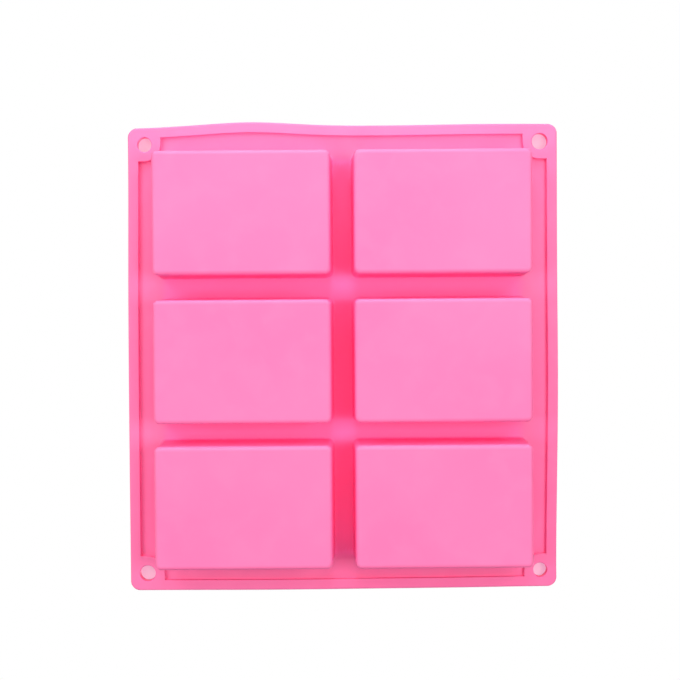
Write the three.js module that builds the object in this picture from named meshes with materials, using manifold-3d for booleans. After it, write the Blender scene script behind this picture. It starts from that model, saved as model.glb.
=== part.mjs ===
// A flexible silicone tray mould for six soap bars, in millimetres, +Z up.
//
// The tray is one moulding. It is modelled as its natural regions, which meet face to face: a thin
// deck, six cups that hang from it, a thicker rim band along the four sides and four corner pads with
// hanging holes. It lies as it is used: mouths up, cup undersides on z = 0, origin at the centre of the
// footprint, X across the columns, Y along the rows.

import * as THREE from 'three';
import { mergeVertices } from 'three/addons/utils/BufferGeometryUtils.js';
import Module from 'manifold-3d';

// ---------------------------------------------------------------- driving dimensions

const COLUMNS = [ 'left', 'right' ];
const ROWS = [ 'front', 'middle', 'back' ];

const MOUTH_LENGTH = 80; // cavity mouth along X
const MOUTH_WIDTH = 55; // cavity mouth along Y
const CAVITY_DEPTH = 25;
const COLUMN_GAP = 13.5; // between neighbouring mouths along X
const ROW_GAP = 13.5; // between neighbouring mouths along Y

const WALL = 2; // cup wall
const FLOOR = 2; // cup floor
const DECK = 2; // deck thickness
const DRAFT = 1.1; // how far a cup wall leans in, mouth to floor, on each side
const MOUTH_CORNER = 3.5; // plan radius of the cavity's corners at the mouth
const CUP_CORNER = 3.4; // plan radius of the cup's outer corners under the deck
const FLOOR_FILLET = 1.2; // inside, where walls meet floor
const UNDERSIDE_ROUND = 1; // outside, round the cup's underside
const LIP_ROUND = 0.6; // at the cavity mouth

const RIM_WIDTH = 5;
const RIM_THICKNESS = 4;
const RIM_ROUND = 0.8; // outer edges of the rim, top and bottom
const SIDE_STRIP = 9.5; // deck between cup and rim along the long sides
const END_STRIP = 8.5; // deck between cup and rim along the short sides
const TRAY_CORNER = 4.5; // plan radius of the tray's outer corners

const HOLE_INSET = 8.3; // hanging hole's axis to either outer edge
const HOLE_RADIUS = 3.7;
const PAD_CLEARANCE = 1.3; // deck left between a corner pad and its cup

const CORNER_STEPS = 4; // facets per quarter turn of a plan corner
const ROUND_STEPS = 3; // facets per quarter turn of a small edge round
const HOLE_STEPS = 24;

// ---------------------------------------------------------------- sizes that follow

const TOP = FLOOR + CAVITY_DEPTH;
const DECK_UNDERSIDE = TOP - DECK;
const RIM_UNDERSIDE = TOP - RIM_THICKNESS;

const COLUMN_PITCH = MOUTH_LENGTH + COLUMN_GAP;
const ROW_PITCH = MOUTH_WIDTH + ROW_GAP;
const CUP_LENGTH = MOUTH_LENGTH + 2 * WALL;
const CUP_WIDTH = MOUTH_WIDTH + 2 * WALL;
const FARTHEST_X = COLUMN_PITCH * ( COLUMNS.length - 1 ) / 2;
const FARTHEST_Y = ROW_PITCH * ( ROWS.length - 1 ) / 2;
const HALF_X = FARTHEST_X + CUP_LENGTH / 2 + SIDE_STRIP + RIM_WIDTH;
const HALF_Y = FARTHEST_Y + CUP_WIDTH / 2 + END_STRIP + RIM_WIDTH;

// A corner pad is round about its hole, as large as the clearance to the nearest cup corner allows.
const CUP_CORNER_DX = SIDE_STRIP + RIM_WIDTH + CUP_CORNER - HOLE_INSET;
const CUP_CORNER_DY = END_STRIP + RIM_WIDTH + CUP_CORNER - HOLE_INSET;
const PAD_RADIUS = Math.hypot( CUP_CORNER_DX, CUP_CORNER_DY ) - CUP_CORNER - PAD_CLEARANCE;
const PAD_REACH = HOLE_INSET + PAD_RADIUS;

const SILICONE = { color: 0xff8cc3, roughness: 0.55, metalness: 0 };

// ---------------------------------------------------------------- outlines in plan

const QUARTER = Math.PI / 2;

// Rectangle with rounded corners, centred on (x, y).
function roundedRectangle( length, width, radius, x = 0, y = 0 ) {

	const dx = length / 2 - radius;
	const dy = width / 2 - radius;
	const path = new THREE.Path();
	path.absarc( x + dx, y + dy, radius, 0, QUARTER );
	path.absarc( x - dx, y + dy, radius, QUARTER, 2 * QUARTER );
	path.absarc( x - dx, y - dy, radius, 2 * QUARTER, 3 * QUARTER );
	path.absarc( x + dx, y - dy, radius, 3 * QUARTER, 4 * QUARTER );
	path.closePath();
	return path;

}

// Points along a path whose arcs get this many facets each: three.js doubles the count it is given.
function pointsAlong( path, facets ) {

	return path.getPoints( facets / 2 );

}

function shapeOf( path ) {

	return new THREE.Shape( pointsAlong( path, CORNER_STEPS ) );

}

// ---------------------------------------------------------------- edges and drafted walls

// The height and inset of each level of a wall, [ z, inset ], where inset is measured in plan
// from the outline that the wall is drawn with.

function quarterTurn( steps, pointAt ) {

	return Array.from( { length: steps + 1 }, ( _, i ) => pointAt( QUARTER * i / steps ) );

}

// Outside of a cup: rounded underside, drafted wall, then straight through the deck.
function cupOutside() {

	const leanAt = ( z ) => DRAFT * ( 1 - z / DECK_UNDERSIDE );
	const round = quarterTurn( ROUND_STEPS, ( angle ) => [
		UNDERSIDE_ROUND * ( 1 - Math.cos( angle ) ),
		leanAt( UNDERSIDE_ROUND ) + UNDERSIDE_ROUND * ( 1 - Math.sin( angle ) )
	] );
	return [ ...round, [ DECK_UNDERSIDE, 0 ], [ TOP, 0 ] ];

}

// Inside of a cup: filleted floor, drafted wall, rounded lip, and on past the top so that it cuts.
function cupInside() {

	const fillet = Math.min( FLOOR_FILLET, MOUTH_CORNER - DRAFT - 0.2 );
	const leanAt = ( z ) => DRAFT * ( TOP - z ) / CAVITY_DEPTH;
	const bottom = quarterTurn( ROUND_STEPS, ( angle ) => [
		FLOOR + fillet * ( 1 - Math.cos( angle ) ),
		leanAt( FLOOR + fillet ) + fillet * ( 1 - Math.sin( angle ) )
	] );
	const lip = quarterTurn( ROUND_STEPS, ( angle ) => [
		TOP - LIP_ROUND + LIP_ROUND * Math.sin( angle ),
		LIP_ROUND * ( Math.cos( angle ) - 1 )
	] );
	return [ ...bottom, ...lip, [ TOP + 1, - LIP_ROUND ] ];

}

// Outer edge of the rim, rounded below and above.
function rimEdge() {

	const lower = quarterTurn( ROUND_STEPS, ( angle ) => [
		RIM_UNDERSIDE + RIM_ROUND * ( 1 - Math.cos( angle ) ),
		RIM_ROUND * ( 1 - Math.sin( angle ) )
	] );
	const upper = quarterTurn( ROUND_STEPS, ( angle ) => [
		TOP - RIM_ROUND * ( 1 - Math.sin( angle ) ),
		RIM_ROUND * ( 1 - Math.cos( angle ) )
	] );
	return [ ...lower, ...upper ];

}

// Extrudes a shape through the levels of a wall, and moves every vertex in by its level's inset.
function layered( shape, levels, insetPoint ) {

	const steps = levels.length - 1;
	const geometry = new THREE.ExtrudeGeometry( shape, { depth: steps, steps, bevelEnabled: false } );
	const position = geometry.attributes.position;
	for ( let i = 0; i < position.count; i ++ ) {

		const [ z, inset ] = levels[ Math.round( position.getZ( i ) ) ];
		const [ x, y ] = insetPoint( position.getX( i ), position.getY( i ), inset );
		position.setXYZ( i, x, y, z );

	}
	geometry.computeVertexNormals();
	return geometry;

}

// Moves a point of a rounded rectangle in by inset, square to the outline.
function insetIn( length, width, radius ) {

	const dx = length / 2 - radius;
	const dy = width / 2 - radius;
	return ( x, y, inset ) => {

		const centreX = THREE.MathUtils.clamp( x, - dx, dx );
		const centreY = THREE.MathUtils.clamp( y, - dy, dy );
		const share = ( radius - inset ) / radius;
		return [ centreX + ( x - centreX ) * share, centreY + ( y - centreY ) * share ];

	};

}

// ---------------------------------------------------------------- cutting

const wasm = await Module();
wasm.setup();

function solidOf( geometry ) {

	const plain = geometry.clone();
	plain.deleteAttribute( 'normal' );
	plain.deleteAttribute( 'uv' );
	const merged = mergeVertices( plain, 1e-4 );
	return new wasm.Manifold( new wasm.Mesh( {
		numProp: 3,
		vertProperties: new Float32Array( merged.attributes.position.array ),
		triVerts: new Uint32Array( merged.index.array )
	} ) );

}

function geometryOf( solid ) {

	const mesh = solid.getMesh();
	const geometry = new THREE.BufferGeometry();
	geometry.setAttribute( 'position', new THREE.BufferAttribute( mesh.vertProperties, 3 ) );
	geometry.setIndex( new THREE.BufferAttribute( mesh.triVerts, 1 ) );
	geometry.computeVertexNormals();
	return geometry;

}

// ---------------------------------------------------------------- regions of the moulding

function cupGeometry() {

	const outside = layered(
		shapeOf( roundedRectangle( CUP_LENGTH, CUP_WIDTH, CUP_CORNER ) ),
		cupOutside(),
		insetIn( CUP_LENGTH, CUP_WIDTH, CUP_CORNER )
	);
	const inside = layered(
		shapeOf( roundedRectangle( MOUTH_LENGTH, MOUTH_WIDTH, MOUTH_CORNER ) ),
		cupInside(),
		insetIn( MOUTH_LENGTH, MOUTH_WIDTH, MOUTH_CORNER )
	);
	return geometryOf( solidOf( outside ).subtract( solidOf( inside ) ) );

}

// Side of a corner pad that faces the cups, about the hole's axis: a quarter turn between two
// straight stretches, which end this far out from that axis.
function padInnerSide( end ) {

	const side = new THREE.Path();
	side.moveTo( end, - PAD_RADIUS );
	side.lineTo( 0, - PAD_RADIUS );
	side.absarc( 0, 0, PAD_RADIUS, 3 * QUARTER, 2 * QUARTER, true );
	side.lineTo( - PAD_RADIUS, end );
	return pointsAlong( side, CORNER_STEPS );

}

function padGeometry() {

	const corner = HOLE_INSET - TRAY_CORNER;
	const outer = new THREE.Path();
	outer.absarc( corner, corner, TRAY_CORNER, 0, QUARTER );
	const outline = [
		...pointsAlong( outer, CORNER_STEPS ),
		...padInnerSide( HOLE_INSET ).reverse()
	];
	const hole = new THREE.Path();
	hole.absarc( 0, 0, HOLE_RADIUS, 0, 4 * QUARTER );
	const shape = new THREE.Shape( outline );
	shape.holes = [ new THREE.Path( pointsAlong( hole, HOLE_STEPS ).slice( 0, - 1 ) ) ];

	const onOuterEdge = ( x, y, inset ) => {

		const fromX = x - Math.min( x, corner );
		const fromY = y - Math.min( y, corner );
		const reach = Math.hypot( fromX, fromY );
		const share = Math.abs( reach - TRAY_CORNER ) < 1e-4 ? inset / TRAY_CORNER : 0;
		return [ x - fromX * share, y - fromY * share ];

	};
	return layered( shape, rimEdge(), onOuterEdge );

}

// Rim band of the given length, along X, with its outer edge towards +Y at y = 0.
function railGeometry( length ) {

	const half = length / 2;
	const shape = new THREE.Shape( [
		new THREE.Vector2( - half, - RIM_WIDTH ),
		new THREE.Vector2( half, - RIM_WIDTH ),
		new THREE.Vector2( half, 0 ),
		new THREE.Vector2( - half, 0 )
	] );
	return layered( shape, rimEdge(), ( x, y, inset ) => [ x, y === 0 ? - inset : y ] );

}

// Deck with an opening for each cup, notched round the corner pads.
function deckGeometry( cupCentres, padCentres ) {

	const notch = padInnerSide( HOLE_INSET - RIM_WIDTH );
	const outline = padCentres.flatMap( ( { x, y, turn } ) =>
		notch.map( ( point ) => point.clone().rotateAround( new THREE.Vector2(), turn )
			.add( new THREE.Vector2( x, y ) ) ) );
	const shape = new THREE.Shape( outline );
	shape.holes = cupCentres.map( ( { x, y } ) =>
		shapeOf( roundedRectangle( CUP_LENGTH, CUP_WIDTH, CUP_CORNER, x, y ) ) );
	return layered( shape, [ [ DECK_UNDERSIDE, 0 ], [ TOP, 0 ] ], ( x, y ) => [ x, y ] );

}

// ---------------------------------------------------------------- the tray

const group = new THREE.Group();
group.name = 'silicone_tray_mould';

function place( name, geometry, { x = 0, y = 0, turn = 0 } = {} ) {

	const mesh = new THREE.Mesh( geometry, new THREE.MeshStandardMaterial( SILICONE ) );
	mesh.name = name;
	mesh.position.set( x, y, 0 );
	mesh.rotation.z = turn;
	group.add( mesh );

}

const cups = COLUMNS.flatMap( ( column, i ) => ROWS.map( ( row, j ) => ( {
	name: `cup_${ column }_${ row }`,
	x: i * COLUMN_PITCH - FARTHEST_X,
	y: j * ROW_PITCH - FARTHEST_Y
} ) ) );

const padX = HALF_X - HOLE_INSET;
const padY = HALF_Y - HOLE_INSET;
const pads = [
	{ name: 'corner_pad_right_back', x: padX, y: padY, turn: 0 },
	{ name: 'corner_pad_left_back', x: - padX, y: padY, turn: QUARTER },
	{ name: 'corner_pad_left_front', x: - padX, y: - padY, turn: 2 * QUARTER },
	{ name: 'corner_pad_right_front', x: padX, y: - padY, turn: 3 * QUARTER }
];

const rails = [
	{ name: 'rim_back', length: 2 * ( HALF_X - PAD_REACH ), y: HALF_Y, turn: 0 },
	{ name: 'rim_left', length: 2 * ( HALF_Y - PAD_REACH ), x: - HALF_X, turn: QUARTER },
	{ name: 'rim_front', length: 2 * ( HALF_X - PAD_REACH ), y: - HALF_Y, turn: 2 * QUARTER },
	{ name: 'rim_right', length: 2 * ( HALF_Y - PAD_REACH ), x: HALF_X, turn: 3 * QUARTER }
];

place( 'deck_web', deckGeometry( cups, pads ) );
for ( const cup of cups ) place( cup.name, cupGeometry(), cup );
for ( const pad of pads ) place( pad.name, padGeometry(), pad );
for ( const rail of rails ) place( rail.name, railGeometry( rail.length ), rail );

export default group;
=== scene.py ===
"""Looks of a soft silicone tray mould for six soap bars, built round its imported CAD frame.

The tray is one moulding, so every piece here stands for one region of it, meets its neighbours face
to face and has the same finish. All lengths are in metres, in the frame's own axes: +Z up, out of
the cavity mouths, X across the two columns of cups and Y along the three rows.
"""

import logging
import math
from dataclasses import dataclass
from enum import Enum
from typing import Mapping, Sequence

import bmesh
import bpy
import numpy as np
from mathutils import Matrix, Vector


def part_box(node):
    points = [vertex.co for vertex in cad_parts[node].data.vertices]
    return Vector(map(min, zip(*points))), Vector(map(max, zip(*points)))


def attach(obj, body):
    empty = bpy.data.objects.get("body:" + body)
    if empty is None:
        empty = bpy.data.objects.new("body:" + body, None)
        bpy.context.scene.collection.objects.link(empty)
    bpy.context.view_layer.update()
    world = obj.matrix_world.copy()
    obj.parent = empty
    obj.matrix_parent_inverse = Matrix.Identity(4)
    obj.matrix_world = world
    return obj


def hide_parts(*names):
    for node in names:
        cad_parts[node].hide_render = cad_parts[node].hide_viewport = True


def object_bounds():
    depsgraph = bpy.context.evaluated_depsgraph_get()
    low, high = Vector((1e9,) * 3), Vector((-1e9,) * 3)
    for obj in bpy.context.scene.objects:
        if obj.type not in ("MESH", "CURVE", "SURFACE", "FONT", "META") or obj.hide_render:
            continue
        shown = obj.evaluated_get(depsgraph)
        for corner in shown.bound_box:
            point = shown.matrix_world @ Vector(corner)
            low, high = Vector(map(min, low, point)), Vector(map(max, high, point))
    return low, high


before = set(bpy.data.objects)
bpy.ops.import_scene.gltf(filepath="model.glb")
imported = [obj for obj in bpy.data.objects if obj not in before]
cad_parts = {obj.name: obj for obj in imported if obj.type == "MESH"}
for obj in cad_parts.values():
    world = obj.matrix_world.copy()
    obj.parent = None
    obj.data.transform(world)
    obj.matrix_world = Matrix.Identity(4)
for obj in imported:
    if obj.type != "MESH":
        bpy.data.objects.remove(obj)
CAD_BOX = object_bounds()

LOG = logging.getLogger("soap_mould")
BODY = "root"
MM = 0.001
QUARTER = math.pi / 2
SAME_POINT = 0.001 * MM
SHARP_ANGLE = math.radians(40)
# Name of the point value that carries painted shade into the gaps and the hanging holes.
PAINTED_SHADE = "painted_shade"

RGB = tuple[float, float, float]


class Side(Enum):
    """Side of the tray, counted in quarter turns from the back."""

    BACK = 0
    LEFT = 1
    FRONT = 2
    RIGHT = 3


class Corner(Enum):
    """Corner of the tray, counted in quarter turns from the back right."""

    RIGHT_BACK = 0
    LEFT_BACK = 1
    LEFT_FRONT = 2
    RIGHT_FRONT = 3

    @property
    def signs(self) -> tuple[int, int]:
        """Signs of x and y towards the corner."""
        return ((1, 1), (-1, 1), (-1, -1), (1, -1))[self.value]


# ---------------------------------------------------------------- loops and grids of points


@dataclass(frozen=True)
class Fineness:
    """Number of steps that the surfaces are divided into."""

    corner: int = 12
    along_x: int = 28
    along_y: int = 20
    edge: int = 6
    wall: int = 8
    land: int = 5
    rail: int = 90
    pad_straight: int = 2
    pad_edge: int = 9
    pad_end: int = 4


FINE = Fineness()


def quarter(steps: int = FINE.edge) -> np.ndarray:
    """Angles of a quarter turn in equal steps, both ends included."""
    return QUARTER * np.arange(steps + 1) / steps


def circle(angles: np.ndarray) -> np.ndarray:
    """Points of a unit circle: the cosine and sine of each angle, as a last axis of two."""
    return np.stack([np.cos(angles), np.sin(angles)], axis=-1)


def closed_loops(runs: Sequence[np.ndarray]) -> np.ndarray:
    """Joins four corner runs into closed loops, anticlockwise from the back right.

    Formula: each corner run is followed by points that divide the straight line from its last point
    to the next run's first point into equal steps.

    Args:
        runs: four arrays of shape (loops, steps, 2), at the back right, back left, front left and
            front right corner.

    Returns:
        Array of shape (loops, points, 2).
    """
    pieces = []
    for k, run in enumerate(runs):
        steps = FINE.along_x if k % 2 == 0 else FINE.along_y
        share = (np.arange(1, steps) / steps)[None, :, None]
        start, end = run[:, -1:, :], runs[(k + 1) % 4][:, :1, :]
        pieces += [run, start * (1 - share) + end * share]
    return np.concatenate(pieces, axis=1)


def rounded_rectangles(half_x: np.ndarray, half_y: np.ndarray, radius: np.ndarray) -> np.ndarray:
    """Rounded rectangles about the origin, one for each entry of the three arrays.

    Formula: a corner's points are its centre, one radius in from both sides, plus the radius times
    the cosine and sine of an angle that runs through a quarter turn.

    Args:
        half_x: half lengths along X.
        half_y: half lengths along Y.
        radius: corner radii.

    Returns:
        Array of shape (loops, points, 2).
    """
    runs = []
    for corner in Corner:
        arc = circle(QUARTER * corner.value + quarter(FINE.corner))
        centre = np.stack([half_x - radius, half_y - radius], axis=-1) * corner.signs
        runs.append(centre[:, None, :] + radius[:, None, None] * arc)
    return closed_loops(runs)


def raised(loops: np.ndarray, heights: np.ndarray) -> np.ndarray:
    """Adds a height to plan loops, as a third coordinate.

    Args:
        loops: array of shape (loops, points, 2).
        heights: one height, one for each loop, or one for each point of each loop.

    Returns:
        Array of shape (loops, points, 3).
    """
    z = np.asarray(heights, float)
    z = z[:, None] if z.ndim == 1 else z
    return np.concatenate([loops, np.broadcast_to(z, loops.shape[:2])[..., None]], axis=-1)


def between(first: np.ndarray, last: np.ndarray, shares: Sequence[float]) -> np.ndarray:
    """Ruled surface: the first loop times (1 - share) plus the last loop times share."""
    share = np.asarray(shares, float)[:, None, None]
    return first[None] * (1 - share) + last[None] * share


def eased(share: np.ndarray) -> np.ndarray:
    """0 below 0 and 1 above 1, rising as 3t² - 2t³ between them."""
    kept = np.clip(share, 0, 1)
    return kept * kept * (3 - 2 * kept)


def placed(points: np.ndarray, x: float, y: float, turns: int = 0) -> np.ndarray:
    """Points turned about Z by quarter turns, then moved in plan.

    Args:
        points: array of shape (..., 2) or (..., 3).
        x: where the origin goes along X.
        y: where the origin goes along Y.
        turns: number of quarter turns, anticlockwise.

    Returns:
        The moved points, in the same shape.
    """
    cosine, sine = round(math.cos(turns * QUARTER)), round(math.sin(turns * QUARTER))
    moved = points.copy()
    moved[..., 0] = x + cosine * points[..., 0] - sine * points[..., 1]
    moved[..., 1] = y + sine * points[..., 0] + cosine * points[..., 1]
    return moved


def middle_of(node: str) -> tuple[float, float]:
    """Middle of a CAD region in plan."""
    low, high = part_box(node)
    return (low.x + high.x) / 2, (low.y + high.y) / 2


# ---------------------------------------------------------------- the tray's shared sizes


@dataclass(frozen=True)
class Tray:
    """Sizes that the regions of the moulding share."""

    half_x: float
    half_y: float
    top: float
    deck_underside: float
    rim_underside: float
    rim_width: float
    pad_reach: float
    cup_half_x: float
    cup_half_y: float
    row_pitch: float
    column_x: float
    wall: float = 2.0 * MM
    floor: float = 2.0 * MM
    draft: float = 0.85 * MM
    hole_inset: float = 8.3 * MM
    cup_corner: float = 3.4 * MM
    root_fillet: float = 1.0 * MM
    seam_margin: float = 0.12 * MM
    rim_round: float = 0.8 * MM
    step_round: float = 0.25 * MM
    gap_fade: float = 5.0 * MM
    # Painted shade in the gaps between the cups, with extra between the two columns.
    gap_painted_shade: float = 0.5
    column_gap_painted_shade: float = 0.13

    @classmethod
    def from_frame(cls) -> "Tray":
        """Reads the tray's main sizes from the CAD regions."""
        low, high = CAD_BOX
        cup_low, cup_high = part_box("cup_right_middle")
        rail_low, rail_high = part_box("rim_back")
        pad_low, pad_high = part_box("corner_pad_right_back")
        return cls(
            half_x=(high.x - low.x) / 2,
            half_y=(high.y - low.y) / 2,
            top=high.z,
            deck_underside=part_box("deck_web")[0].z,
            rim_underside=rail_low.z,
            rim_width=rail_high.y - rail_low.y,
            pad_reach=pad_high.x - pad_low.x,
            cup_half_x=(cup_high.x - cup_low.x) / 2,
            cup_half_y=(cup_high.y - cup_low.y) / 2,
            row_pitch=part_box("cup_right_back")[0].y - cup_low.y,
            column_x=(cup_high.x + cup_low.x) / 2,
        )

    @property
    def pad_radius(self) -> float:
        """Radius of a corner pad's round inner side, about its hole."""
        return self.pad_reach - self.hole_inset

    @property
    def seam(self) -> tuple[float, float, float]:
        """Half sizes and corner radius of the loop where a cup region meets the deck."""
        grow = self.root_fillet + self.seam_margin
        return self.cup_half_x + grow, self.cup_half_y + grow, self.cup_corner + grow

    def painted_gap_shade(self, points: np.ndarray) -> np.ndarray:
        """How much painted shade points of the underside get between the cups, from 0 to 1.

        Formula: one value of painted shade in all gaps, fading out at the outer cups' edges, and a
        little more between the two columns, where the gap is long and the cups hide most of the light.

        Args:
            points: array of shape (..., 3).

        Returns:
            Array of shape (...).
        """
        x, y = np.abs(points[..., 0]), np.abs(points[..., 1])
        from_row = np.abs((y + self.row_pitch / 2) % self.row_pitch - self.row_pitch / 2)
        within_x = self._within(x, self.column_x + self.cup_half_x)
        within_y = self._within(y, self.row_pitch + self.cup_half_y)
        middle = self._within(x, 2 * self.gap_fade)
        beside_cup = self._within(from_row, self.cup_half_y)
        return self.gap_painted_shade * within_x * within_y + self.column_gap_painted_shade * middle * beside_cup

    def _within(self, distance: np.ndarray, end: float) -> np.ndarray:
        """1 well inside a distance and 0 from its end on, easing over the fade before the end."""
        return 1 - eased((distance - end) / self.gap_fade + 1)

    def hole(self, corner: Corner) -> tuple[float, float]:
        """Place of a hanging hole in plan."""
        across, along = corner.signs
        return across * (self.half_x - self.hole_inset), along * (self.half_y - self.hole_inset)

    def pad_side(self) -> np.ndarray:
        """A corner pad's inner side in plan, about its hole, with the tray's corner towards +X +Y.

        Formula: a straight line in from the right rail's inner edge, a quarter circle about the
        hole and a straight line out to the back rail's inner edge.

        Returns:
            Array of shape (corner steps + 1, 2).
        """
        straight = FINE.pad_straight
        end = self.hole_inset - self.rim_width
        arc = self.pad_radius * circle(3 * QUARTER - quarter(FINE.corner - 2 * straight))
        share = np.arange(straight)[:, None] / straight
        first = np.array([end, -self.pad_radius])
        last = first[::-1]
        into = first * (1 - share) + arc[0] * share
        out = last * (1 - share) + arc[-1] * share
        return np.concatenate([into, arc, out[::-1]])


@dataclass(frozen=True)
class Sway:
    """Stretch of rim that lies a little out of line, outwards where out is positive."""

    side: Side
    at: float
    spread: float
    out: float

    def shift(self, points: np.ndarray, fade: np.ndarray) -> np.ndarray:
        """How far points move: out times a bell curve along the side, faded towards the cups.

        Args:
            points: array of shape (..., 3).
            fade: 0 at the cups and 1 at this side's rim, of shape (...).

        Returns:
            Moves along the side's outward direction, of shape (...).
        """
        along = points[..., 0] if self.side in (Side.BACK, Side.FRONT) else points[..., 1]
        return self.out * fade * np.exp(-((along - self.at) ** 2) / (2 * self.spread ** 2))


@dataclass(frozen=True)
class Slack:
    """Small ways in which a soft tray never lies quite flat and straight."""

    tray: Tray
    strip: float = 8.5 * MM
    droop: float = 0.4 * MM
    droop_cycles: tuple[float, float] = (0.9, 0.7)
    droop_starts: tuple[float, float] = (0.3, -0.2)
    row_slip: float = -0.55 * MM
    sways: tuple[Sway, ...] = (
        Sway(Side.BACK, 44 * MM, 20 * MM, 2.05 * MM),
        Sway(Side.BACK, 103 * MM, 14 * MM, -0.6 * MM),
        Sway(Side.BACK, -68 * MM, 26 * MM, 0.42 * MM),
        Sway(Side.RIGHT, 100 * MM, 38 * MM, -0.85 * MM),
        Sway(Side.LEFT, -105 * MM, 38 * MM, -0.85 * MM),
        Sway(Side.LEFT, -5 * MM, 30 * MM, 0.3 * MM),
        Sway(Side.FRONT, -103 * MM, 30 * MM, -0.65 * MM),
        Sway(Side.FRONT, 42 * MM, 35 * MM, 0.24 * MM),
    )

    def lay(self, points: np.ndarray) -> np.ndarray:
        """Moves points as the soft sheet lies.

        Formula: each sway moves its rim in or out as a bell curve. The free edges droop by slow
        sine waves. Both fade to nothing across the strip of deck between rim and cups. The middle
        row of cups slips forward as one, and the gaps on both sides of it take up the slip.

        Args:
            points: array of shape (..., 3).

        Returns:
            The moved points, in the same shape.
        """
        x, y = points[..., 0], points[..., 1]
        tray = self.tray
        fades = {
            Side.BACK: self._fade(y, tray.half_y),
            Side.LEFT: self._fade(-x, tray.half_x),
            Side.FRONT: self._fade(-y, tray.half_y),
            Side.RIGHT: self._fade(x, tray.half_x),
        }
        cycles, starts = self.droop_cycles, self.droop_starts
        wave_x = 0.5 - 0.5 * np.cos(2 * np.pi * (cycles[0] * x / tray.half_x + starts[0]))
        wave_y = 0.5 - 0.5 * np.cos(2 * np.pi * (cycles[1] * y / tray.half_y + starts[1]))
        ends = np.maximum(fades[Side.BACK], fades[Side.FRONT])
        sides = np.maximum(fades[Side.LEFT], fades[Side.RIGHT])
        moved = points.copy()
        for sway in self.sways:
            outward = placed(np.array([0.0, 1.0]), 0, 0, sway.side.value)
            moved[..., :2] += sway.shift(points, fades[sway.side])[..., None] * outward
        moved[..., 2] -= self.droop * np.maximum(wave_x * ends, wave_y * sides)
        row_gap = tray.row_pitch - 2 * tray.cup_half_y
        moved[..., 1] += self.row_slip * (1 - eased((np.abs(y) - tray.cup_half_y) / row_gap))
        return moved

    def _fade(self, along: np.ndarray, half: float) -> np.ndarray:
        """0 at the cups and 1 at the rim, rising smoothly over the strip of deck between them."""
        start = half - self.tray.rim_width - self.strip
        return eased((along - start) / self.strip)


# ---------------------------------------------------------------- shells


class Shell:
    """Closed surface gathered from grids of points."""

    def __init__(self) -> None:
        """Starts with no points."""
        self.points: list[np.ndarray] = []
        self.painted_shades: list[np.ndarray] = []
        self.quads: list[np.ndarray] = []
        self.count = 0

    def add(
        self,
        grid: np.ndarray,
        close_rows: bool = False,
        close_columns: bool = True,
        keep: np.ndarray | None = None,
        painted_shade: np.ndarray | float = 0.0,
    ) -> None:
        """Adds a grid whose faces look along the row direction crossed with the column direction.

        Args:
            grid: points, of shape (rows, columns, 3).
            close_rows: whether the last row joins the first.
            close_columns: whether the last column joins the first.
            keep: mask of the faces to keep, of shape (row steps, column steps), or None for all.
            painted_shade: how much painted shade the points get in a gap or hole, from 0 to 1, as a
                number or an array that spreads over the grid.
        """
        rows, columns = grid.shape[:2]
        row = np.arange(rows if close_rows else rows - 1)[:, None]
        column = np.arange(columns if close_columns else columns - 1)[None, :]
        next_row, next_column = (row + 1) % rows, (column + 1) % columns
        quads = np.stack([
            row * columns + column,
            next_row * columns + column,
            next_row * columns + next_column,
            row * columns + next_column,
        ], axis=-1)
        kept = quads.reshape(-1, 4) if keep is None else quads[keep]
        self.quads.append(kept + self.count)
        self.points.append(grid.reshape(-1, 3))
        self.painted_shades.append(np.broadcast_to(painted_shade, (rows, columns)).ravel())
        self.count += rows * columns

    def piece(self, node: str, slack: Slack, finish: bpy.types.Material) -> bpy.types.Object:
        """Makes the piece that stands for a CAD region.

        Args:
            node: the CAD region's name.
            slack: how the soft tray lies.
            finish: the piece's material.

        Returns:
            The object, at the origin, with its place in its mesh.
        """
        name = f"{node}_skin"
        mesh = bpy.data.meshes.new(name)
        points = slack.lay(np.concatenate(self.points))
        mesh.from_pydata(points.tolist(), [], np.concatenate(self.quads).tolist())
        # Painted shade, kept as a point value for the material.
        painted_shade = mesh.attributes.new(PAINTED_SHADE, "FLOAT", "POINT")
        painted_shade.data.foreach_set("value", np.concatenate(self.painted_shades).astype(np.float32))
        merged = bmesh.new()
        merged.from_mesh(mesh)
        bmesh.ops.remove_doubles(merged, verts=merged.verts, dist=SAME_POINT)
        merged.to_mesh(mesh)
        merged.free()
        mesh.polygons.foreach_set("use_smooth", np.ones(len(mesh.polygons), bool))
        mesh.set_sharp_from_angle(angle=SHARP_ANGLE)
        mesh.materials.append(finish)
        mesh.update()
        piece = bpy.data.objects.new(name, mesh)
        bpy.context.scene.collection.objects.link(piece)
        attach(piece, BODY)
        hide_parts(node)
        return piece


# ---------------------------------------------------------------- regions of the moulding


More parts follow.
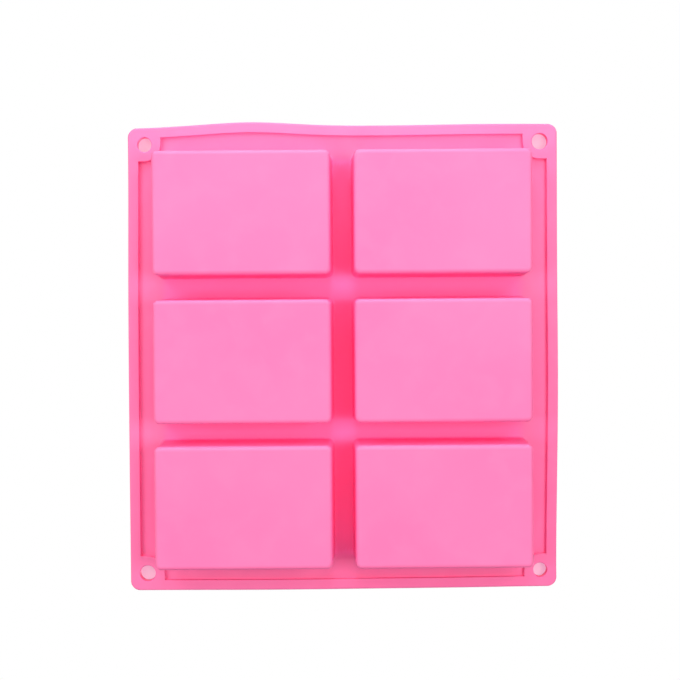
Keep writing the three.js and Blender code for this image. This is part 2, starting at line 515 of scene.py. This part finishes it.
@dataclass(frozen=True)
class Cup:
    """One cup: cavity, lip, outer walls and underside, out to its seam with the deck."""

    tray: Tray
    node: str
    mouth_corner: float = 3.5 * MM
    floor_fillet: float = 1.2 * MM
    lip: float = 0.6 * MM
    underside_round: float = 1.9 * MM
    sag: float = 0.12 * MM
    land_crowding: float = 1.5
    flat_shares: tuple[float, ...] = (0, 0.15, 0.3, 0.45, 0.6, 0.75, 0.87, 0.95, 0.985)

    def shell(self) -> Shell:
        """The cup as one profile carried round a rounded rectangle.

        Formula: every level of the profile is a rounded rectangle with its own half sizes, corner
        radius and height, and an inset shrinks all three plan sizes alike. The profile runs from
        the middle of the cavity's floor up the inside, over the lip, down the seam and the outside,
        and in to the middle of the underside.

        Returns:
            The closed shell, where the CAD region is.
        """
        inside, outside = self._inside(), self._outside()
        levels = np.concatenate([inside, outside])
        loops = rounded_rectangles(levels[:, 0], levels[:, 1], levels[:, 2])
        grid = placed(raised(loops, levels[:, 3]), *middle_of(self.node))
        # Painted shade: the outer walls above their rounded lower edge take the gaps' painted shade; the
        # cavity and the underside take none.
        up = eased(outside[:, 3:] / self.underside_round)
        shade_share = np.concatenate([np.zeros((len(inside), 1)), up])
        shell = Shell()
        shell.add(grid, painted_shade=shade_share * self.tray.painted_gap_shade(grid))
        return shell

    def _inside(self) -> np.ndarray:
        """Levels from the middle of the cavity's floor out to the seam.

        Formula: the floor's levels are shares of its edge, sunk as a parabola. The wall leans in by
        the draft, linearly with depth. Fillet and lip are quarter circles, and the land is a
        straight blend from the lip to the seam, whose levels crowd towards the lip.

        Returns:
            Array of shape (levels, 4): half x, half y, corner radius, height.
        """
        tray, fillet, lip = self.tray, self.floor_fillet, self.lip
        slope = tray.draft / (tray.top - tray.floor)
        bend = tray.floor + fillet
        brow = tray.top - lip
        turn = quarter()
        heights = np.linspace(bend, brow, FINE.wall + 1)[1:-1]
        at_floor = np.stack([
            slope * (bend - tray.top) - fillet * (1 - np.sin(turn)),
            bend - fillet * np.cos(turn),
        ], axis=-1)
        at_wall = np.stack([slope * (heights - tray.top), heights], axis=-1)
        at_lip = np.stack([
            lip * (1 - np.cos(turn)) - slope * lip * np.cos(turn),
            brow + lip * np.sin(turn),
        ], axis=-1)
        grow = np.concatenate([at_floor, at_wall, at_lip])
        mouth = np.array([tray.cup_half_x - tray.wall, tray.cup_half_y - tray.wall, self.mouth_corner])
        walls = np.concatenate([mouth + grow[:, :1], grow[:, 1:]], axis=1)
        share = np.array(self.flat_shares)[:, None]
        floor = np.concatenate([
            walls[:1, :3] * share,
            tray.floor - self.sag * (1 - share ** 2),
        ], axis=1)
        out = np.linspace(0, 1, FINE.land)[1:, None] ** self.land_crowding
        land = walls[-1] * (1 - out) + np.array([*tray.seam, tray.top]) * out
        return np.concatenate([floor, walls, land])

    def _outside(self) -> np.ndarray:
        """Levels from the seam's lower edge in to the middle of the underside.

        Formula: a quarter-circle fillet turns from the deck's underside into the wall, which leans
        in by the draft, linearly down to the underside. A quarter circle rounds its lower edge, and
        the underside's levels are shares of that edge, arched as a parabola.

        Returns:
            Array of shape (levels, 4): half x, half y, corner radius, height.
        """
        tray, round_off, root = self.tray, self.underside_round, self.tray.root_fillet
        slope = tray.draft / tray.deck_underside
        shoulder = tray.deck_underside - root
        turn = quarter()
        heights = np.linspace(shoulder, round_off, FINE.wall + 1)[1:-1]
        at_seam = np.array([[root + tray.seam_margin, tray.deck_underside]])
        at_root = np.stack([
            root * (1 - np.sin(turn)) - slope * root * np.sin(turn),
            shoulder + root * np.cos(turn),
        ], axis=-1)
        at_wall = np.stack([slope * (heights - tray.deck_underside), heights], axis=-1)
        at_edge = np.stack([
            slope * (round_off - tray.deck_underside) - round_off * (1 - np.cos(turn)),
            round_off * (1 - np.sin(turn)),
        ], axis=-1)
        grow = np.concatenate([at_seam, at_root, at_wall, at_edge])
        outline = np.array([tray.cup_half_x, tray.cup_half_y, tray.cup_corner])
        walls = np.concatenate([outline + grow[:, :1], grow[:, 1:]], axis=1)
        share = np.array(self.flat_shares[::-1])[:, None]
        underside = np.concatenate([walls[-1:, :3] * share, self.sag * (1 - share ** 2)], axis=1)
        return np.concatenate([walls, underside])


@dataclass(frozen=True)
class Deck:
    """The thin deck between the cups, the rim and the corner pads."""

    tray: Tray
    cups: Sequence[Cup]
    node: str = "deck_web"
    corner_run: float = 4.0 * MM
    shares: tuple[float, ...] = (0, 0.05, 0.2, 0.4, 0.6, 0.8, 0.95, 1)

    def shell(self) -> Shell:
        """The deck, as one cell round each cup.

        Formula: a cell's top is a ruled surface from the cup's seam out to the cell's boundary, and
        its underside is the same a deck's thickness lower. A wall closes it at the seam, and
        another wherever its boundary is the deck's own edge.

        Returns:
            The closed shell.
        """
        tray = self.tray
        seam = rounded_rectangles(*np.array(tray.seam)[:, None])[0]
        shell = Shell()
        for cup in self.cups:
            centre = np.array(middle_of(cup.node))
            boundary, at_edge = self._cell(centre)
            loops = between(placed(seam, *centre), boundary, self.shares)
            grid = np.concatenate([
                raised(loops, tray.top),
                raised(loops[::-1], tray.deck_underside),
            ])
            keep = np.ones(grid.shape[:2], bool)
            keep[len(self.shares) - 1] = at_edge
            # Painted shade: the deck's underside takes the gaps' painted shade; its top takes none.
            under = np.repeat([0.0, 1.0], len(self.shares))[:, None]
            shell.add(grid, close_rows=True, keep=keep, painted_shade=under * tray.painted_gap_shade(grid))
        return shell

    def _cell(self, centre: np.ndarray) -> tuple[np.ndarray, np.ndarray]:
        """Boundary of the deck's cell round a cup.

        Args:
            centre: the cup's centre in plan.

        Returns:
            The boundary loop, of shape (points, 2), and which of its steps lie on the deck's edge.
        """
        tray = self.tray
        edge = np.array([tray.half_x, tray.half_y]) - tray.rim_width
        half_pitch = np.array([abs(centre[0]), tray.row_pitch / 2])
        limits = np.stack([centre - half_pitch, centre + half_pitch])
        outer = np.abs(limits) > edge - tray.row_pitch / 4
        limits = np.where(outer, np.sign(limits) * edge, limits)
        runs = []
        for corner in Corner:
            pick = (np.array(corner.signs) + 1) // 2
            limit = limits[pick, (0, 1)]
            at_pad = outer[pick, (0, 1)].all()
            runs.append(self._pad_run(corner) if at_pad else self._plain_run(corner, limit))
        loop = closed_loops([run[None] for run in runs])[0]
        after = np.roll(loop, -1, axis=0)
        inner = np.zeros(len(loop), bool)
        for axis in (0, 1):
            for level in limits[~outer[:, axis], axis]:
                near = np.abs(np.stack([loop, after])[..., axis] - level) < SAME_POINT
                inner |= near.all(axis=0)
        return loop, ~inner

    def _plain_run(self, corner: Corner, limit: np.ndarray) -> np.ndarray:
        """Square corner of a cell: along one straight line to the corner and out along another.

        Args:
            corner: which corner of the cell.
            limit: the corner's place in plan.

        Returns:
            Array of shape (corner steps + 1, 2).
        """
        reach = np.linspace(-1, 1, FINE.corner + 1)[:, None] * self.corner_run
        before = placed(np.array([0.0, -1.0]), 0, 0, corner.value)
        after = placed(np.array([-1.0, 0.0]), 0, 0, corner.value)
        return limit + np.where(reach < 0, -reach * before, reach * after)

    def _pad_run(self, corner: Corner) -> np.ndarray:
        """Corner of a cell that goes round the inner side of a corner pad."""
        return placed(self.tray.pad_side(), *self.tray.hole(corner), corner.value)


@dataclass(frozen=True)
class RimRail:
    """The thicker rim band along one side, between two corner pads."""

    tray: Tray
    side: Side
    flat_shares: tuple[float, ...] = (0.35, 0.65, 1.0)
    edge_flat: float = 1.4

    @property
    def node(self) -> str:
        """Name of the CAD region."""
        return f"rim_{self.side.name.lower()}"

    def _section(self) -> np.ndarray:
        """Closed section of the rail, with its outer edge at y = 0 and the tray towards -y.

        Formula: a rectangle whose outer corners are quarter circles and whose step down from the
        deck has a small quarter circle at its lower edge. It runs inwards along the top, down the
        step, out along the underside and up the outer edge.

        Returns:
            Array of shape (points, 2): y and z.
        """
        tray = self.tray
        width, radius, small = tray.rim_width, tray.rim_round, tray.step_round
        turn = quarter()
        ease, full = 1 - np.cos(turn), 1 - np.sin(turn)
        across = -np.array([radius * self.edge_flat, *(width * np.array(self.flat_shares))])
        top = np.stack([across, np.full(len(across), tray.top)], axis=-1)
        step = np.stack([-width + small * ease, tray.rim_underside + small * full], axis=-1)
        back = across[-2::-1]
        under = np.stack([back, np.full(len(back), tray.rim_underside)], axis=-1)
        lower = np.stack([-radius * full, tray.rim_underside + radius * ease], axis=-1)
        upper = np.stack([-radius * ease, tray.top - radius * full], axis=-1)
        return np.concatenate([top, [[-width, tray.deck_underside]], step, under, lower, upper])

    def shell(self) -> Shell:
        """The rail: its section carried along a straight line, with a fan of faces at each end.

        Returns:
            The closed shell, where the CAD region is.
        """
        tray = self.tray
        long_side = self.side in (Side.BACK, Side.FRONT)
        along, across = (tray.half_x, tray.half_y) if long_side else (tray.half_y, tray.half_x)
        length = along - tray.pad_reach
        section = self._section()
        x = np.linspace(-length, length, FINE.rail + 1)
        grid = np.empty((len(section), len(x), 3))
        grid[..., 0] = x
        grid[..., 1:] = section[:, None, :]
        turns = self.side.value
        place = placed(np.array([0.0, across]), 0, 0, turns)
        shell = Shell()
        shell.add(placed(grid, *place, turns), close_rows=True, close_columns=False)
        for end, order in ((0, -1), (-1, 1)):
            edge = grid[::order, end]
            fan = np.stack([np.broadcast_to(edge.mean(axis=0), edge.shape), edge])
            shell.add(placed(fan, *place, turns))
        return shell


@dataclass(frozen=True)
class CornerPad:
    """A corner pad with its hanging hole."""

    tray: Tray
    corner: Corner
    outer_corner: float = 4.5 * MM
    hole_radius: float = 3.7 * MM
    hole_round: float = 0.45 * MM
    shares: tuple[float, ...] = (0.06, 0.35, 0.65, 0.94)

    @property
    def node(self) -> str:
        """Name of the CAD region."""
        return f"corner_pad_{self.corner.name.lower()}"

    def _outline(self) -> tuple[np.ndarray, np.ndarray, np.ndarray, np.ndarray]:
        """Outline about the hole, with the tray's corner towards +X +Y, and its edge rounding.

        Formula: a quarter circle at the tray's corner, two straight outer edges, two straight ends
        where the rails begin and the pad's inner side. Each point has a direction that leads
        inwards, square to the edge, and halfway between two edges where they meet.

        Returns:
            Points and inward directions, of shape (points, 2), and the radius of the rounding at
            the top and at the underside, of shape (points).
        """
        tray = self.tray
        out, radius = tray.hole_inset, tray.pad_radius
        middle = out - self.outer_corner
        arc = circle(quarter(FINE.corner))
        edge_x = np.linspace(middle, -radius, FINE.pad_edge + 1)[1:]
        back = np.stack([edge_x, np.full(FINE.pad_edge, out)], axis=-1)
        inner_end = out - tray.rim_width + tray.step_round
        end_y = np.linspace(out - tray.rim_round, inner_end, FINE.pad_end)
        end = np.stack([np.full(FINE.pad_end, -radius), end_y], axis=-1)
        side = tray.pad_side()[::-1]
        inwards = -np.clip(side / radius, -1, 0)
        inwards[[0, -1]] = 1.0
        points = [middle + self.outer_corner * arc, back, end, side, end[::-1, ::-1], back[::-1, ::-1]]
        directions = [
            -arc,
            np.broadcast_to([0.0, -1.0], back.shape),
            np.zeros(end.shape),
            inwards,
            np.zeros(end.shape),
            np.broadcast_to([-1.0, 0.0], back.shape),
        ]
        sizes = [len(part) for part in points]
        top = np.repeat([tray.rim_round, tray.rim_round, 0, 0, 0, tray.rim_round], sizes)
        under = np.repeat([tray.rim_round, tray.rim_round, 0, tray.step_round, 0, tray.rim_round], sizes)
        return np.concatenate(points), np.concatenate(directions), top, under

    def shell(self) -> Shell:
        """The pad as a ring, closed both round the hole and round its section.

        Formula: top and underside are ruled surfaces between the hole and the outline. The outer
        edges, the step's lower edge and the hole's rims are quarter circles. The painted shade rises
        as a sine over each of the hole's rims, to 1 on its wall.

        Returns:
            The closed shell, where the CAD region is.
        """
        tray = self.tray
        points, inwards, top_round, under_round = self._outline()
        turn = quarter()[:, None]
        ease, full = 1 - np.cos(turn), 1 - np.sin(turn)
        upper = raised(
            points + inwards * (top_round * full)[..., None], tray.top - top_round * ease)
        lower = raised(
            points + inwards * (under_round * ease)[..., None], tray.rim_underside + under_round * full)
        spokes = points / np.linalg.norm(points, axis=-1, keepdims=True)
        rim = self.hole_round
        hole_lower = raised(
            spokes * (self.hole_radius + rim * full)[..., None], tray.rim_underside + rim * ease)
        hole_upper = raised(
            spokes * (self.hole_radius + rim * ease)[..., None], tray.top - rim * full)
        grid = np.concatenate([
            upper,
            lower,
            between(lower[-1], hole_lower[0], self.shares),
            hole_lower,
            hole_upper,
            between(hole_upper[-1], upper[0], self.shares),
        ])
        # Painted shade on the hole's rims and wall, rising to 1 on the wall.
        hole_shade = np.sin(turn)
        inside = np.zeros((len(grid), 1))
        first = len(upper) + len(lower) + len(self.shares)
        inside[first:first + 2 * len(hole_shade)] = np.concatenate([hole_shade, hole_shade[::-1]])
        shell = Shell()
        ring = placed(grid, *tray.hole(self.corner), self.corner.value)
        shell.add(ring, close_rows=True, painted_shade=inside)
        return shell


@dataclass(frozen=True)
class Mould:
    """The whole moulding, region by region."""

    tray: Tray
    columns: tuple[str, ...] = ("left", "right")
    rows: tuple[str, ...] = ("front", "middle", "back")

    def regions(self) -> list[Cup | Deck | RimRail | CornerPad]:
        """All regions, from the cups out to the rim."""
        cups = [Cup(self.tray, f"cup_{column}_{row}") for column in self.columns for row in self.rows]
        rails = [RimRail(self.tray, side) for side in Side]
        pads = [CornerPad(self.tray, corner) for corner in Corner]
        return [*cups, Deck(self.tray, cups), *rails, *pads]

    def build(self, finish: bpy.types.Material) -> list[bpy.types.Object]:
        """Makes a piece for every region.

        Args:
            finish: the material of the whole moulding.

        Returns:
            The pieces.
        """
        slack = Slack(self.tray)
        pieces = []
        for region in self.regions():
            piece = region.shell().piece(region.node, slack, finish)
            LOG.info("%s: %d faces", piece.name, len(piece.data.polygons))
            pieces.append(piece)
        return pieces


# ---------------------------------------------------------------- finish


class Wire:
    """A node's output, with arithmetic that adds Math nodes."""

    def __init__(self, graph: "Graph", socket: bpy.types.NodeSocket) -> None:
        """Holds the socket and the graph that it belongs to."""
        self.graph = graph
        self.socket = socket

    def _math(self, operation: str, first: "Wire | float", second: "Wire | float") -> "Wire":
        """Adds a Math node on two values."""
        return self.graph.add("ShaderNodeMath", {"operation": operation}, {0: first, 1: second})

    def __add__(self, other: "Wire | float") -> "Wire":
        """Sum."""
        return self._math("ADD", self, other)

    def __radd__(self, other: float) -> "Wire":
        """Sum, with the number first."""
        return self._math("ADD", other, self)

    def __sub__(self, other: "Wire | float") -> "Wire":
        """Difference."""
        return self._math("SUBTRACT", self, other)

    def __rsub__(self, other: float) -> "Wire":
        """Difference, with the number first."""
        return self._math("SUBTRACT", other, self)

    def __mul__(self, other: "Wire | float") -> "Wire":
        """Product."""
        return self._math("MULTIPLY", self, other)

    def __rmul__(self, other: float) -> "Wire":
        """Product, with the number first."""
        return self._math("MULTIPLY", other, self)


class Graph:
    """Node tree of a material or world, written from sources to output."""

    def __init__(self, tree: bpy.types.NodeTree) -> None:
        """Starts from an empty tree."""
        self.tree = tree
        tree.nodes.clear()

    def add(
        self,
        kind: str,
        settings: Mapping[str, object],
        sockets: Mapping[int | str, object],
        output: int | str = 0,
    ) -> Wire:
        """Adds a node.

        Args:
            kind: the node's type.
            settings: the node's own properties, set first.
            sockets: values or wires for its inputs, by name or number.
            output: which output to return.

        Returns:
            The output, or a wire with no socket where the node has no outputs.
        """
        node = self.tree.nodes.new(kind)
        for key, value in settings.items():
            setattr(node, key, value)
        for key, value in sockets.items():
            if isinstance(value, Wire):
                self.tree.links.new(value.socket, node.inputs[key])
            else:
                node.inputs[key].default_value = value
        return Wire(self, node.outputs[output] if len(node.outputs) else None)

    def noise(self, place: Wire, size: float, detail: float = 2.0, distortion: float = 0.0) -> Wire:
        """Smooth noise around 0.5, with features of about the given size in metres."""
        values = {"Vector": place, "Scale": 1 / size, "Detail": detail, "Distortion": distortion}
        return self.add("ShaderNodeTexNoise", {}, values)

    def blend(self, share: Wire | float, first: Wire | RGB, second: Wire | RGB) -> Wire:
        """Colour between two colours."""
        ends = [end if isinstance(end, Wire) else (*end, 1.0) for end in (first, second)]
        settings = {"data_type": "RGBA"}
        return self.add("ShaderNodeMix", settings, {0: share, 6: ends[0], 7: ends[1]}, output=2)

    def clamped(self, value: Wire) -> Wire:
        """The value, kept between 0 and 1."""
        return self.add("ShaderNodeClamp", {}, {"Value": value})

    def remap(self, value: Wire, low: float, high: float) -> Wire:
        """0 below low and 1 above high, easing between them."""
        sockets = {"Value": value, "From Min": low, "From Max": high}
        return self.add("ShaderNodeMapRange", {"interpolation_type": "SMOOTHSTEP"}, sockets)


@dataclass(frozen=True)
class Silicone:
    """Satin pink silicone rubber, with the faint tooth that a blasted tool leaves and painted shade in
    its gaps and holes.
    """

    name: str = "satin_pink_silicone"
    pink: RGB = (0.975, 0.175, 0.458)
    deep: RGB = (0.97, 0.16, 0.438)
    milky: RGB = (0.975, 0.195, 0.478)
    # Painted shade: the deeper pink of the gaps between the cups.
    gap: RGB = (0.975, 0.163, 0.518)
    # Painted shade: the dark red of the hanging holes' walls.
    hole: RGB = (0.94, 0.08, 0.27)
    roughness: float = 0.6
    refraction: float = 1.41
    gloss: float = 0.4
    drift_size: float = 90 * MM
    drift_span: tuple[float, float] = (0.35, 0.65)
    cloud_size: float = 14 * MM
    cloud_span: tuple[float, float] = (0.4, 0.75)
    cloud_tint: float = 0.45
    cloud_dulling: float = 0.16
    handled_size: float = 42 * MM
    handled_span: tuple[float, float] = (0.52, 0.66)
    handled_shine: float = 0.05
    tooth_size: float = 0.42 * MM
    tooth_dulling: float = 0.10
    ripple_size: float = 9 * MM
    tooth_height: float = 0.012 * MM
    ripple_height: float = 0.05 * MM

    def material(self) -> bpy.types.Material:
        """Makes the material.

        Formula: slow noise drifts the colour between two pinks, and finer clouds mottle it with a
        milky one. The painted-shade value takes it to the gaps' deeper pink by one half and on to the
        holes' dark red by one: both are painted shade. Handling leaves soft patches that are a little
        glossier. The surface's height is a fine tooth on slow ripples.

        Returns:
            The material.
        """
        material = bpy.data.materials.new(self.name)
        material.use_nodes = True
        graph = Graph(material.node_tree)
        place = graph.add("ShaderNodeTexCoord", {}, {}, output="Object")
        drift = graph.noise(place, self.drift_size, detail=1.0)
        cloud = graph.noise(place, self.cloud_size, detail=4.0, distortion=0.4)
        tooth = graph.noise(place, self.tooth_size, detail=3.0)
        ripple = graph.noise(place, self.ripple_size, detail=1.0)
        touched = graph.noise(place, self.handled_size, detail=3.0)
        handled = graph.remap(touched, *self.handled_span)
        slow = graph.blend(graph.remap(drift, *self.drift_span), self.deep, self.pink)
        clouded = self.cloud_tint * graph.remap(cloud, *self.cloud_span)
        mottled = graph.blend(clouded, slow, self.milky)
        # Painted shade: the point value blends towards the gaps' pink, then on to the holes' red.
        painted_shade = graph.add("ShaderNodeAttribute", {"attribute_name": PAINTED_SHADE}, {}, output="Fac")
        gap_shaded_colour = graph.blend(graph.clamped(2.0 * painted_shade), mottled, self.gap)
        shaded = graph.blend(graph.clamped(2.0 * painted_shade - 1.0), gap_shaded_colour, self.hole)
        dulled = self.cloud_dulling * (cloud - 0.5) + self.tooth_dulling * (tooth - 0.5)
        roughness = self.roughness + dulled - self.handled_shine * handled
        height = self.tooth_height * tooth + self.ripple_height * ripple
        bump = graph.add("ShaderNodeBump", {}, {"Strength": 1.0, "Distance": 1.0, "Height": height})
        shader = graph.add("ShaderNodeBsdfPrincipled", {}, {
            "Base Color": shaded,
            "Roughness": roughness,
            "IOR": self.refraction,
            "Specular IOR Level": self.gloss,
            "Normal": bump,
        })
        graph.add("ShaderNodeOutputMaterial", {}, {"Surface": shader})
        return material


@dataclass(frozen=True)
class Paper:
    """Plain pale surface that shows from one side only."""

    name: str
    colour: RGB
    own_light: float
    fade: tuple[float, float] | None = None
    roughness: float = 0.8
    fibre_size: float = 2 * MM
    fibre_contrast: float = 0.03

    def material(self) -> bpy.types.Material:
        """Makes the material: a faintly fibrous matt front, and a back that isn't there.

        Formula: the front adds an even light of its own to what falls on it. Where a fade is given,
        the front thins out with distance from the origin, from whole inside the first radius to
        nothing outside the second.

        Returns:
            The material.
        """
        material = bpy.data.materials.new(self.name)
        material.use_nodes = True
        graph = Graph(material.node_tree)
        place = graph.add("ShaderNodeTexCoord", {}, {}, output="Object")
        fibre = graph.noise(place, self.fibre_size, detail=4.0)
        darker = tuple((1 - self.fibre_contrast) * channel for channel in self.colour)
        colour = graph.blend(fibre, darker, self.colour)
        front = graph.add("ShaderNodeBsdfPrincipled", {}, {
            "Base Color": colour,
            "Roughness": self.roughness,
            "Emission Color": (*self.colour, 1.0),
            "Emission Strength": self.own_light,
        })
        back = graph.add("ShaderNodeBsdfTransparent", {}, {})
        missing = graph.add("ShaderNodeNewGeometry", {}, {}, output="Backfacing")
        if self.fade:
            distance = graph.add("ShaderNodeVectorMath", {"operation": "LENGTH"}, {0: place}, output=1)
            thinned = graph.remap(distance, *self.fade)
            missing = graph.add("ShaderNodeMath", {"operation": "MAXIMUM"}, {0: missing, 1: thinned})
        shown = graph.add("ShaderNodeMixShader", {}, {0: missing, 1: front, 2: back})
        graph.add("ShaderNodeOutputMaterial", {}, {"Surface": shown})
        return material


# ---------------------------------------------------------------- studio

WARM: RGB = (1.0, 1.04, 0.84)


@dataclass(frozen=True)
class Lamp:
    """Square soft box that points at the tray."""

    name: str
    azimuth: float
    elevation: float
    watts: float
    size: float = 0.3
    distance: float = 0.75
    tint: RGB = (1.0, 1.0, 1.0)

    def build(self) -> None:
        """Makes the light.

        Formula: its direction from the tray is a turn of azimuth from +X towards +Y, in degrees,
        and a rise of elevation above the deck, which is negative below it.
        """
        turn, rise = math.radians(self.azimuth), math.radians(self.elevation)
        plan = Vector((math.cos(turn), math.sin(turn), 0))
        direction = math.cos(rise) * plan + math.sin(rise) * Vector((0, 0, 1))
        light = bpy.data.lights.new(self.name, "AREA")
        light.shape = "SQUARE"
        light.size = self.size
        light.energy = self.watts
        light.color = self.tint
        lamp = bpy.data.objects.new(self.name, light)
        aim = direction.to_track_quat("Z", "Y").to_matrix().to_4x4()
        lamp.matrix_world = Matrix.Translation(direction * self.distance) @ aim
        lamp.visible_camera = False
        bpy.context.scene.collection.objects.link(lamp)


@dataclass(frozen=True)
class Studio:
    """Pale floor under the tray, pale sheet behind its flat side, soft lamps and a white surround."""

    tray: Tray
    floor_size: float = 6.0
    gap: float = 0.3 * MM
    surround: float = 0.205
    bounces: int = 12
    floor_finish: Paper = Paper("pale_floor", (0.46, 0.455, 0.45), own_light=0.75, fade=(0.3, 2.2))
    # The sheet's pink own light is painted bounce light: it stands in for pink light from the hole walls
    # that fills the surface seen through the holes.
    sheet_finish: Paper = Paper("pale_sheet", (0.47, 0.28, 0.39), own_light=1.0)
    lamps: tuple[Lamp, ...] = (
        Lamp("below_back_low", 90, -12, 1.72, size=0.2, distance=0.5, tint=WARM),
        Lamp("below_back_high", 90, -60, 0.75, tint=WARM),
        Lamp("below_left", 180, -60, 2.6, tint=WARM),
        Lamp("below_left_back", 135, -35, 1.25, tint=WARM),
        Lamp("below_right_back", 45, -35, 1.65, tint=WARM),
        Lamp("below_right", 0, -35, 1.5, tint=WARM),
        Lamp("below_right_high", 0, -60, 0.6, tint=WARM),
        Lamp("below_front", 270, -35, 0.75, tint=(1.0, 0.8, 0.95)),
        Lamp("above_front_left", 225, 50, 64.0, size=1.6, distance=3.0),
        Lamp("above_front_right", 330, 45, 24.0, size=2.0, distance=3.0),
        Lamp("above_back", 90, 65, 22.0, size=2.0, distance=3.0),
    )

    def build(self) -> None:
        """Makes the floor, the sheet, the lamps and the surround."""
        tray = self.tray
        floor = self.floor_finish.material()
        sheet = self.sheet_finish.material()
        half = self.floor_size / 2
        self._plane("floor", (half, half), -self.gap, 1, floor)
        reach = (tray.half_x - tray.rim_width / 2, tray.half_y - tray.rim_width / 2)
        self._plane("sheet_behind", reach, tray.top + self.gap, -1, sheet)
        for lamp in self.lamps:
            lamp.build()
        self._surround()

    @staticmethod
    def _plane(
        name: str,
        half: tuple[float, float],
        height: float,
        facing: int,
        finish: bpy.types.Material,
    ) -> None:
        """Level plane that only the camera sees, so that lamps on both sides reach the tray.

        Args:
            name: the plane's name.
            half: half its size along X and Y.
            height: its height.
            facing: 1 to face up, -1 to face down.
            finish: its material.
        """
        corners = np.array([(-1, -1), (1, -1), (1, 1), (-1, 1)])[::facing] * half
        mesh = bpy.data.meshes.new(name)
        mesh.from_pydata([(x, y, height) for x, y in corners.tolist()], [], [(0, 1, 2, 3)])
        mesh.materials.append(finish)
        plane = bpy.data.objects.new(name, mesh)
        plane.visible_diffuse = False
        plane.visible_glossy = False
        plane.visible_transmission = False
        plane.visible_shadow = False
        bpy.context.scene.collection.objects.link(plane)

    def _surround(self) -> None:
        """White surround: full white behind the tray, and dimmer as a light."""
        world = bpy.data.worlds.new("white_surround")
        world.use_nodes = True
        graph = Graph(world.node_tree)
        seen = graph.add("ShaderNodeLightPath", {}, {}, output="Is Camera Ray")
        strength = self.surround + (1.0 - self.surround) * seen
        white = graph.add("ShaderNodeBackground", {}, {"Color": (1, 1, 1, 1), "Strength": strength})
        graph.add("ShaderNodeOutputWorld", {}, {"Surface": white})
        bpy.context.scene.world = world
        bpy.context.scene.view_settings.view_transform = "Standard"
        bpy.context.scene.cycles.diffuse_bounces = self.bounces


@dataclass(frozen=True)
class StillCamera:
    """Camera that looks straight at the cups' undersides, a little off square."""

    place: tuple[float, float, float] = (1.07 * MM, 21.16 * MM, -550 * MM)
    pitch: float = -0.0216
    yaw: float = 0.0005
    roll: float = -0.0072
    lens: float = 63.08
    sensor: float = 36.0

    def build(self) -> None:
        """Makes the camera.

        Formula: it starts looking along +Z with +Y up, so that +X is on its left. It then yaws
        about its up axis, pitches about its right axis and rolls about its line of sight.
        """
        start = Matrix(((-1, 0, 0), (0, 1, 0), (0, 0, -1)))
        yaw = Matrix.Rotation(self.yaw, 3, "Y")
        pitch = Matrix.Rotation(self.pitch, 3, "X")
        roll = Matrix.Rotation(self.roll, 3, "Z")
        data = bpy.data.cameras.new("still_camera")
        data.lens = self.lens
        data.sensor_width = self.sensor
        data.clip_start = 10 * MM
        camera = bpy.data.objects.new("still_camera", data)
        turned = start @ yaw @ pitch @ roll
        camera.matrix_world = Matrix.Translation(self.place) @ turned.to_4x4()
        bpy.context.scene.collection.objects.link(camera)
        bpy.context.scene.camera = camera


# ---------------------------------------------------------------- the scene


def main() -> None:
    """Builds the moulding, the studio and the camera."""
    logging.basicConfig(level=logging.INFO, format="%(name)s: %(message)s")
    tray = Tray.from_frame()
    pieces = Mould(tray).build(Silicone().material())
    LOG.info("%d pieces", len(pieces))
    Studio(tray).build()
    StillCamera().build()


if __name__ == "__main__":
    main()
